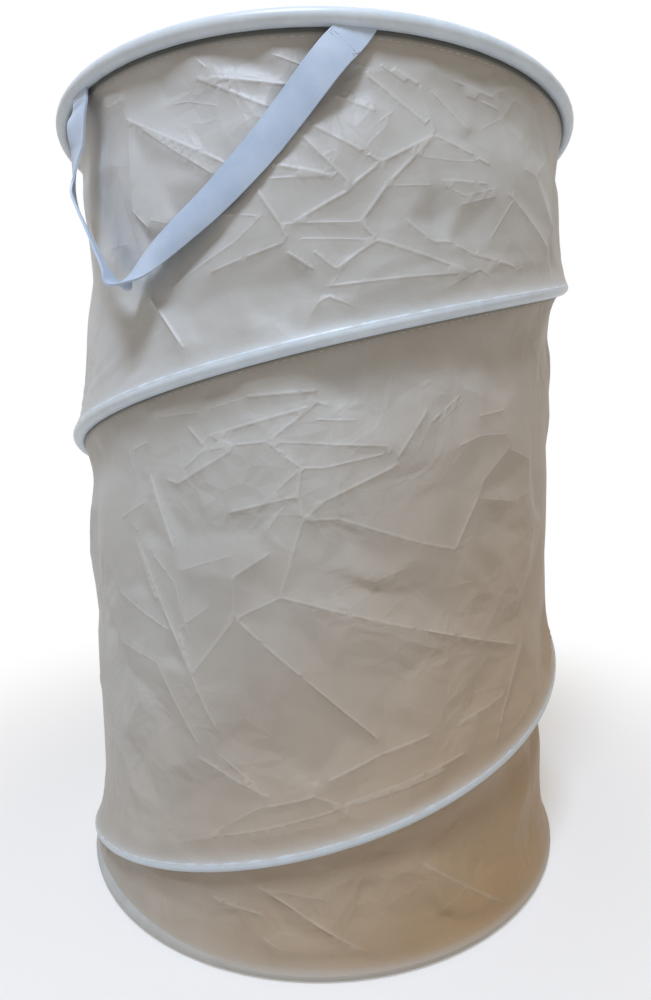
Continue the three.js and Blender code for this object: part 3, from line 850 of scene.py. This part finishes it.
rim_hem = hoop_hem("rim_hem", RIM_TUBE, HEIGHT - RIM_TUBE, 21, lit_hem_taffeta)
foot_hem = hoop_hem("foot_hem", HEM, BOTTOM_COIL, 22, lit_foot_taffeta)

# %% The spiral's hem
HEM_START = SPIRAL_HEAD_AZIMUTH + SPIRAL_MERGE
HEM_TURN = SPIRAL_TURN + 2 * SPIRAL_MERGE
coil_hem = spun_hem("coil_hem", HEM, 0, HEM_START, -HEM_TURN, SPIRAL_STEPS)
turned = np.linspace(-SPIRAL_MERGE, SPIRAL_TURN + SPIRAL_MERGE, SPIRAL_STEPS + 1)
turned = np.repeat(turned, HEM_SIDES)
to_end = np.minimum(turned + SPIRAL_MERGE, SPIRAL_TURN + SPIRAL_MERGE - turned)
THIN_END, THIN_DEGREES = 0.62, 24
thinner = THIN_END + (1 - THIN_END) * step(to_end / THIN_DEGREES)
points = points_of(coil_hem)
reach = np.linalg.norm(points[:, :2], axis=1)
points[:, :2] *= ((COIL + (reach - COIL) * thinner) / reach)[:, None]
points[:, 2] = points[:, 2] * thinner + spiral_height(turned)
points[:, 2] = np.maximum(points[:, 2], BOTTOM_COIL + 0.5 * HEM)
move_points(coil_hem, points)
sew_hem(coil_hem, np.radians(turned) * COIL, 23, lit_hem_taffeta)

# %% [markdown]
# ## Bottom
#
# The bottom is one round cut of the same cloth, stretched by the bottom hoop. A filled circle
# is inset ring by ring, so that there are points to move, and light creases from folding
# cross it.

# %% The bottom
BOTTOM_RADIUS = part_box("bottom_panel")[1].x - 0.2 * MM
BOTTOM_RINGS = 40
start_clean()
bpy.ops.mesh.primitive_circle_add(
    vertices=180, radius=BOTTOM_RADIUS, fill_type="NGON", location=(0, 0, 0.7 * MM)
)
bottom = added("bottom_cloth")
bpy.ops.object.transform_apply()
edit(bottom)
for _ in range(BOTTOM_RINGS - 1):
    bpy.ops.mesh.inset(thickness=BOTTOM_RADIUS / BOTTOM_RINGS)
bpy.ops.mesh.poke()
start_clean()
points = points_of(bottom)
to_rim = 1 - np.hypot(points[:, 0], points[:, 1]) / BOTTOM_RADIUS
low_corners, low_heights = loose_corners(30 * MM, 4, False)
lift = triangulated(points[:, :2] + 0.2, low_corners, low_heights, [])
points[:, 2] += lift * 0.5 * MM * step(to_rim * 8)
move_points(bottom, points)
tidy_mesh(bottom, None)
finish_with(bottom, floor_taffeta)
print("bottom:", len(bottom.data.polygons), "faces")

# %% [markdown]
# ## Webbing
#
# The handles are flat polypropylene webbing, 17 mm wide and finely ribbed, with a slightly
# silky, bluish white look. A strap is made flat as a long grid and laid along its route: out
# from under the top hem, down to its lowest point and up again. Flat webbing can't turn a
# corner in its own plane. On its way down the strap curls across its width, and at the turn
# its face tips up. It then climbs almost edge-on, and ends with its other face out.

# %% The strap's route
STRAP_WIDTH = 17 * MM
STRAP_THICK = 1.2 * MM
STRAP_RIGHT_AZIMUTH = 7
STRAP_SPAN = 64  # degrees
STRAP_DROP = 110 * MM
# Along the strap from right to left: share of the span, of the drop, of the way out from under
# the hem, and in degrees how far its face turns up and how much it curls from edge to edge.
strap_route = np.array([
    (-0.07, -0.2, 0, 0, 0), (0, -0.01, 0.1, 0, 4), (0.066, 0.125, 0.9, 0, 10),
    (0.163, 0.329, 0.75, 0, 18), (0.25, 0.493, 0.65, 1, 28), (0.364, 0.665, 0.65, 4, 44),
    (0.467, 0.784, 0.7, 9, 66), (0.55, 0.875, 0.8, 18, 66), (0.6, 0.94, 0.9, 34, 44),
    (0.632, 0.985, 1, 58, 24), (0.652, 1, 1, 84, 14), (0.67, 0.985, 1, 106, 10),
    (0.69, 0.943, 1, 118, 8), (0.731, 0.856, 1, 128, 8), (0.773, 0.756, 1, 134, 8),
    (0.823, 0.652, 1, 140, 8), (0.875, 0.544, 1, 147, 8), (0.894, 0.46, 1, 156, 8),
    (0.89, 0.38, 1, 164, 8), (0.882, 0.3, 1, 174, 8), (0.874, 0.22, 1, 186, 8),
    (0.87, 0.13, 0.9, 190, 4), (0.88, 0.02, 0.2, 184, 2), (0.9, -0.18, 0, 180, 0),
])


def strap_at(station):
    """The route's row at any station, on a smooth curve through its points."""
    last = len(strap_route) - 1
    here = np.clip(np.floor(station).astype(int), 0, last - 1)
    t = (station - here)[:, None]
    a, b, c, d = (strap_route[np.clip(here + k, 0, last)] for k in (-1, 0, 1, 2))
    return b + t * (c - a + t * (2 * a - 5 * b + 4 * c - d + t * (3 * (b - c) + d - a))) / 2


def strap_centre(station):
    span, drop, out, turn, _ = strap_at(station).T
    azimuth = STRAP_RIGHT_AZIMUTH - span * STRAP_SPAN
    stand_off = STRAP_WIDTH / 2 * abs(np.sin(np.radians(turn)))
    outside = OUTER - 1 * MM + STRAP_THICK / 2 + 0.6 * stand_off
    radius = COIL + (outside - COIL) * np.clip(out, 0, 1)
    return ring_place(azimuth, radius, SEWN - drop * STRAP_DROP)


def unit(rows):
    return rows / np.linalg.norm(rows, axis=1)[:, None]


def turned_about(rows, axis, angle):
    c, s = np.cos(angle)[:, None], np.sin(angle)[:, None]
    return rows * c + np.cross(axis, rows) * s + axis * (rows * axis).sum(1)[:, None] * (1 - c)


def strap_frame(station):
    """Centre, width direction and face direction at each station."""
    centre = strap_centre(station)
    tangent = unit(strap_centre(station + 0.4) - strap_centre(station - 0.4))
    outward = unit(centre * [1, 1, 0])
    width = unit(np.cross(outward, tangent))
    face = np.cross(tangent, width)
    turn = np.radians(strap_at(station)[:, 3])
    return centre, turned_about(width, tangent, turn), turned_about(face, tangent, turn)


stations = np.linspace(0, len(strap_route) - 1, 2000)
reach = np.linalg.norm(np.diff(strap_centre(stations), axis=0), axis=1)
strap_length = reach.sum()
print(f"strap length {strap_length:.3f} m")

# %% [markdown]
# The finish follows the strap's own UV map, in metres: fine ribs run along it, and a slight
# diagonal shows the twill. The real ribs are 0.4 mm apart, and they are drawn at 1.2 mm.

# %% Webbing finish
RIB_MM = 1.2
TWILL_MM = 0.8


def webbing(name, pale, deep):
    material, tree, shader = new_finish(name)
    place = add(tree, "TexCoord", output="Object")
    on_strap = add(tree, "TexCoord", output="UV")
    cloud, base = mottled(tree, pale, deep, {"Vector": place, "Scale": 45, "Detail": 3})
    slant = add(tree, "Mapping", {"Vector": on_strap, "Rotation": (0, 0, math.radians(24))})
    twill = {"Vector": slant, "Scale": band_scale(TWILL_MM), "Distortion": 0.4, "Detail": 1}
    ribs = {"Vector": on_strap, "Scale": band_scale(RIB_MM), "Distortion": 0.3}
    reliefs = [
        (cloud, 1.2, 0.2),
        (add(tree, "TexWave", ribs, bands_direction="Y"), 0.2, 0.25),
        (add(tree, "TexWave", twill, bands_direction="X"), 0.15, 0.2),
    ]
    silk = {"Specular IOR Level": 0.45, "Sheen Weight": 0.2}
    dress(tree, shader, base, [], reliefs, Roughness=0.45, **silk)
    return material


strap_webbing = webbing("polypropylene_webbing", "#B3C0CF", "#9CACC0")
print("webbing with ribs", RIB_MM, "mm apart")

# %% [markdown]
# Near the hem the strap will have to bend when the handle is lifted, so its cross lines lie
# close together there. One strap is made, turned round for the back, and each is cut in two
# a little below the hem: a sewn end that bends, and the loose webbing that swings.

# %% The straps
STRAP_ROWS = 12
BEND_END = SEWN - 20 * MM
ROW_STEP = 1.1 * MM


def cut_level(piece, height, keep_below):
    """Cuts a piece flat at a height and keeps one side, closed."""
    edit(piece)
    bpy.ops.mesh.bisect(
        plane_co=(0, 0, height), plane_no=(0, 0, 1), use_fill=True,
        clear_outer=keep_below, clear_inner=not keep_below,
    )
    start_clean()


# Paces along the strap are shorter near the hem, and the section is an arc with its own curl.
middles = (stations[1:] + stations[:-1]) / 2
dense = 1 + 1.6 * (strap_centre(middles)[:, 2] > BEND_END - 3 * MM)
paces = np.concatenate([[0], np.cumsum(reach * dense)])
STRAP_COLUMNS = round(paces[-1] / ROW_STEP)
strap, along, side = cloth_grid("strap", STRAP_COLUMNS, STRAP_ROWS, strap_length, STRAP_WIDTH)
station = np.interp(along * paces[-1], paces, stations)
centre, width, face = strap_frame(station)
curl = np.radians(np.maximum(strap_at(station)[:, 4], 1))
angle = (side - 0.5) * curl
bend = STRAP_WIDTH / curl
points = centre + width * (bend * np.sin(angle))[:, None]
points = points + face * (bend * (np.cos(angle) - np.sin(curl / 2) / (curl / 2)))[:, None]
move_points(strap, points)
thicken(strap, STRAP_THICK)
tidy_mesh(strap)
finish_with(strap, strap_webbing)
HANDLES = (("front", 0), ("back", math.pi))
handles = {}
for name, turn in HANDLES:
    loose_part = copied(strap, f"{name}_handle_webbing")
    sewn_part = copied(strap, f"{name}_handle_sewn_ends")
    for piece in (loose_part, sewn_part):
        move_points(piece, turned_round(points_of(piece), turn))
    cut_level(loose_part, BEND_END, True)
    cut_level(sewn_part, BEND_END, False)
    cut_level(sewn_part, SEWN + 3.4 * MM, True)
    for piece in (loose_part, sewn_part):
        tidy_mesh(piece)
        print(piece.name, len(piece.data.polygons), "faces")
    handles[name] = loose_part, sewn_part
bpy.data.objects.remove(strap)

# %% [markdown]
# ## Inside the hems
#
# The wires, the crimped ferrules and the plastic caps are hidden, but they are there, so that
# the hamper can be looked into or pulled apart. The spiral's wire and caps have to fold flat
# with the cloth, so they are copies of the frame's own shapes.


# %% Copies of the spiral's wire and caps
def copy_of_node(node, name):
    piece = copied(frame["nodes"][node], name)
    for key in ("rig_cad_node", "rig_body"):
        if key in piece:
            del piece[key]
    bpy.ops.object.parent_clear(type="CLEAR_KEEP_TRANSFORM")
    tidy_mesh(piece)
    return piece


coil_wire = copy_of_node("spiral_wire", "coil_wire")
head_cap = copy_of_node("spiral_head_cap", "coil_head_cap")
foot_cap = copy_of_node("spiral_foot_cap", "coil_foot_cap")
print("copies of the spiral's wire and of its two caps")

# %% [markdown]
# The tape inside the side seam binds the two raw edges of the wall. It is a narrow strip of
# the same cloth that follows the wall's shape on the inside.

# %% The seam tape
TAPE_WIDTH = 10 * MM
TAPE_COLUMNS = 6
tape, tape_across, tape_up = cloth_grid(
    "side_seam_tape_cloth", TAPE_COLUMNS, WALL_ROWS, TAPE_WIDTH, WALL_LENGTH
)
tape_azimuth = SEAM_AZIMUTH + np.degrees((tape_across - 0.5) * TAPE_WIDTH / WALL_BASE)
wall_radii = np.hypot(*points_of(wall)[:, :2].T).reshape(WALL_ROWS + 1, WALL_COLUMNS + 1)
beside_seam = np.hstack([wall_radii[:, :4], wall_radii[:, -4:]]).min(1)
tape_radius = np.repeat(beside_seam, TAPE_COLUMNS + 1) - 1 * MM
move_points(tape, ring_place(tape_azimuth, tape_radius, WALL_FOOT + WALL_LENGTH * tape_up))
thicken(tape, 0.5 * MM)
tidy_mesh(tape)
finish_with(tape, lit_hem_taffeta)
print("tape inside the seam:", len(tape.data.polygons), "faces")

# %% [markdown]
# ## Thread
#
# A row of stitches holds the top hem and the spiral's hem to the wall, just under the wire.
# A stitch is a short, slightly thick line of thread. One is made from a sphere, and copied
# along the row.

# %% Stitches
STITCH_MM = 3.2
STITCH_GAP_MM = 1.4
STITCH_DROP = HEM + 1.5 * MM


def stitched(name, places, outward):
    """Stitches at these places, each turned along the row."""
    start_clean()
    bpy.ops.mesh.primitive_uv_sphere_add(segments=6, ring_count=4, radius=1)
    one = added("one_stitch")
    shape = points_of(one) * [STITCH_MM / 2 * MM, 0.2 * MM, 0.2 * MM]
    ahead = unit(np.gradient(places, axis=0))
    outward = unit(outward)
    upward = np.cross(outward, ahead)
    copies = []
    for place, x, y, z in zip(places, ahead, outward, upward):
        stitch = one.copy()
        stitch.data = one.data.copy()
        move_points(stitch, place + shape @ np.stack([x, y, z]))
        bpy.context.scene.collection.objects.link(stitch)
        copies.append(stitch)
    start_clean()
    for stitch in copies:
        stitch.select_set(True)
    bpy.context.view_layer.objects.active = copies[0]
    bpy.ops.object.join()
    row = added(name)
    bpy.data.objects.remove(one)
    bpy.ops.object.shade_smooth()
    return row


def sewn_row(name, azimuths, heights):
    """Stitches along the wall, on its tuck under a hem."""
    count = len(azimuths)
    radius = wall_radius(np.full(count, HEIGHT), np.full(count, STITCH_DROP)) + 0.15 * MM
    places = ring_place(azimuths, radius, heights)
    return stitched(name, places, places * [1, 1, 0])


ring_stitches = round(GIRTH / ((STITCH_MM + STITCH_GAP_MM) * MM))
around = SEAM_AZIMUTH + (np.arange(ring_stitches) + 0.5) * 360 / ring_stitches
rim_thread = sewn_row("rim_stitches", around, np.full(ring_stitches, TOP_COIL - STITCH_DROP))
sewn_turn = SPIRAL_TURN - 2 * SPIRAL_MERGE
down_turns = np.linspace(
    SPIRAL_MERGE, SPIRAL_TURN - SPIRAL_MERGE, round(ring_stitches * sewn_turn / 360)
)
coil_thread = sewn_row(
    "coil_stitches", SPIRAL_HEAD_AZIMUTH - down_turns, spiral_height(down_turns) - STITCH_DROP
)
print(ring_stitches, "stitches round the rim,", len(down_turns), "along the spiral")

# %% Bar tacks
TACK_DROP = 6 * MM
TACK_POINTS = 13
tacks = {}
heights_on_strap = strap_centre(stations)[:, 2]
# A tack is a tight zigzag of thread across the strap, just under the hem.
for end, part in (("right", stations < 6), ("left", stations > len(strap_route) - 5)):
    at = stations[part][np.argmin(abs(heights_on_strap[part] - (SEWN - TACK_DROP)))]
    zigzag = np.arange(TACK_POINTS)
    centre, width, face = strap_frame(np.full(TACK_POINTS, at))
    lengthwise = np.cross(width, face)
    outward = face * np.sign((face * centre * [1, 1, 0]).sum(1))[:, None]
    places = centre + width * ((zigzag - TACK_POINTS // 2) * 1.3 * MM)[:, None]
    places = places + lengthwise * (zigzag % 2 * 2 * MM)[:, None]
    places = places + outward * (STRAP_THICK / 2)
    for name, turn in HANDLES:
        tacks[name, end] = stitched(
            f"{name}_{end}_bar_tack", turned_round(places, turn), turned_round(outward, turn)
        )
print(len(tacks), "bar tacks")

# %% [markdown]
# ## Metal, plastic and thread
#
# The wires are drawn spring steel, grey and satin. The ferrules are crimped aluminium, the
# caps soft black PVC, and the thread is spun polyester, which is matt and a little fuzzy.


# %% Finishes of the small parts
def plain_finish(name, pale, deep, rough, metal=0.0, grain_mm=3.0, depth=0.02):
    material, tree, shader = new_finish(name)
    place = add(tree, "TexCoord", output="Object")
    noise = {"Vector": place, "Scale": 1 / (grain_mm * MM), "Detail": 3}
    grain, base = mottled(tree, pale, deep, noise)
    dull = add(tree, "Math", {0: grain, 1: 0.15, 2: rough - 0.07}, operation="MULTIPLY_ADD")
    dress(tree, shader, base, [], [(grain, depth, 0.3)], Roughness=dull, Metallic=metal)
    return material


fuzz = {"rough": 0.6, "grain_mm": 0.7, "depth": 0.15}
spring_steel = plain_finish("drawn_spring_steel", "#9DA0A5", "#7C7F84", 0.32, metal=1.0)
crimped_metal = plain_finish("crimped_aluminium", "#C3C5C7", "#A3A5A8", 0.4, metal=1.0)
cap_plastic = plain_finish("soft_pvc", "#3A3B3D", "#2A2B2D", 0.55, grain_mm=1.1)
sewing_thread = plain_finish("spun_polyester_thread", "#BBBBB6", "#ABABA6", **fuzz)
tack_thread = plain_finish("spun_polyester_thread_blue", "#B6C1D3", "#A8B5CA", **fuzz)
for name, node in frame["nodes"].items():
    if name.endswith("wire"):
        finish_with(node, spring_steel)
    elif name.endswith("ferrule"):
        finish_with(node, crimped_metal)
for material, pieces in (
    (sewing_thread, [rim_thread, coil_thread]), (tack_thread, tacks.values()),
    (cap_plastic, [head_cap, foot_cap]), (spring_steel, [coil_wire]),
):
    for piece in pieces:
        finish_with(piece, material)
print("finishes of the wires, ferrules, caps and thread")

# %% [markdown]
# ## Light and floor
#
# One soft, cool lamp high in front and a little to the left gives the hems their shadow
# bands. A weak warm one stands low on the right, like light thrown back by a wooden floor,
# and a pale, slightly warm room fills the rest, so the shadows are brown. The taffeta adds a
# painted shadow under each hem, and painted light and shade of its own. To the camera alone
# the room is white, and so is the floor away from the hamper. Near the hamper the floor stays
# as it is, so that it keeps the shadow.

# %% Floor
start_clean()
bpy.ops.mesh.primitive_plane_add(size=9)
floor = added("floor")
floor_paint, tree, shader = new_finish("pale_floor")
feed(shader, {"Base Color": colour("#ECEBE9"), "Roughness": 0.9})


def seen_directly(tree):
    """1 where the camera sees a thing itself, in a mirror or through glass."""
    share = 0
    for ray in ("Is Camera Ray", "Is Glossy Ray", "Is Transmission Ray"):
        kind = add(tree, "LightPath", output=ray)
        share = add(tree, "Math", {0: share, 1: kind}, operation="MAXIMUM")
    return share


place = add(tree, "TexCoord", output="Object")
reach = add(tree, "VectorMath", {0: place}, "Value", operation="LENGTH")
away = add(
    tree, "MapRange",
    {"Value": reach, "From Min": 0.2, "From Max": 0.55, "To Min": 0.35, "To Max": 1},
    interpolation_type="SMOOTHSTEP",
)
share = add(tree, "Math", {0: seen_directly(tree), 1: away}, operation="MULTIPLY")
white = add(tree, "Emission", {"Color": (1, 1, 1, 1), "Strength": 1.0})
mixed = add(tree, "MixShader", {"Fac": share, 1: shader.outputs["BSDF"], 2: white})
feed(tree.nodes["Material Output"], {"Surface": mixed})
finish_with(floor, floor_paint)
print("floor of 9 m, white far from the hamper")


# %% Lamps and room
def lamp(name, place, aim, size, power, tint):
    data = bpy.data.lights.new(name, "AREA")
    data.size, data.energy, data.color = size, power, colour(tint)[:3]
    light = bpy.data.objects.new(name, data)
    bpy.context.scene.collection.objects.link(light)
    light.location = place
    light.rotation_euler = (Vector(aim) - Vector(place)).to_track_quat("-Z", "Y").to_euler()


lamp("ceiling_lamp", (-0.22, -1, 1.9), (0, 0, 0.25), 0.45, 35, "#D8E8FF")
lamp("floor_glow", (1.1, -1.2, 0.12), (0, 0, 0.2), 0.9, 1.2, "#FFDDB0")
room = bpy.data.worlds.new("pale_room")
bpy.context.scene.world = room
room.use_nodes = True
tree = room.node_tree
ROOM_FILL = 0.4
seen = seen_directly(tree)
fill = {0: seen, 1: 1 - ROOM_FILL, 2: ROOM_FILL}
level = add(tree, "Math", fill, operation="MULTIPLY_ADD")
warmth = {"Factor": seen, 6: colour("#FFE9CE"), 7: (1, 1, 1, 1)}
tint = add(tree, "Mix", warmth, 2, data_type="RGBA")
feed(tree.nodes["Background"], {"Color": tint, "Strength": level})
print("two lamps and a pale room")

# %% [markdown]
# ## Joining the pieces to the frame
#
# Each piece rides on a body of the frame, and the frame's own parts that it stands in for are
# hidden. The wall, the spiral's pieces, the tape and the loose straps get meshes of their own,
# and the sewn ends of a strap are fixed where they are. On the real hamper the wall, the spiral
# and the tape flatten as the rim goes down, and so do the loose straps, which would otherwise
# reach below the floor; the sewn ends of a strap bend when its handle is lifted.

# %% Riding and replacing
for piece, body, slot, nodes in (
    (wall, "base", "wall_cloth", ["wall_fabric"]),
    (tape, "base", "hem_cloth", ["side_seam_tape"]),
    (coil_hem, "base", "hem_cloth", ["spiral_hem"]),
    (coil_thread, "base", "thread", []),
    (coil_wire, "base", "spring_wire", ["spiral_wire"]),
    (foot_cap, "base", "cap_plastic", ["spiral_foot_cap"]),
    (bottom, "base", "wall_cloth", ["bottom_panel"]),
    (foot_hem, "base", "hem_cloth", ["bottom_hem"]),
    (rim_hem, "rim", "hem_cloth", ["top_hem"]),
    (rim_thread, "rim", "thread", []),
    (head_cap, "rim", "cap_plastic", ["spiral_head_cap"]),
):
    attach(piece, body)
    if nodes:
        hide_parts(*nodes)
for piece in (wall, tape, coil_hem, coil_thread, coil_wire, foot_cap):
    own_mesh(piece)
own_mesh(head_cap)
for name, (loose_part, sewn_part) in handles.items():
    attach(loose_part, f"{name}_handle")
    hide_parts(f"{name}_handle_strap")
    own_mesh(loose_part)
    for end in ("left", "right"):
        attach(tacks[name, end], "rim")
        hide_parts(f"{name}_handle_{end}_tack")
    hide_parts(f"{name}_handle_left_end", f"{name}_handle_right_end")
    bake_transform(sewn_part)

# %% [markdown]
# ## Cloth sizes
#
# The wall is one strip, as long as the hamper's girth with a seam allowance, and the bottom
# is a round cut.

# %% Clear the selection
start_clean()
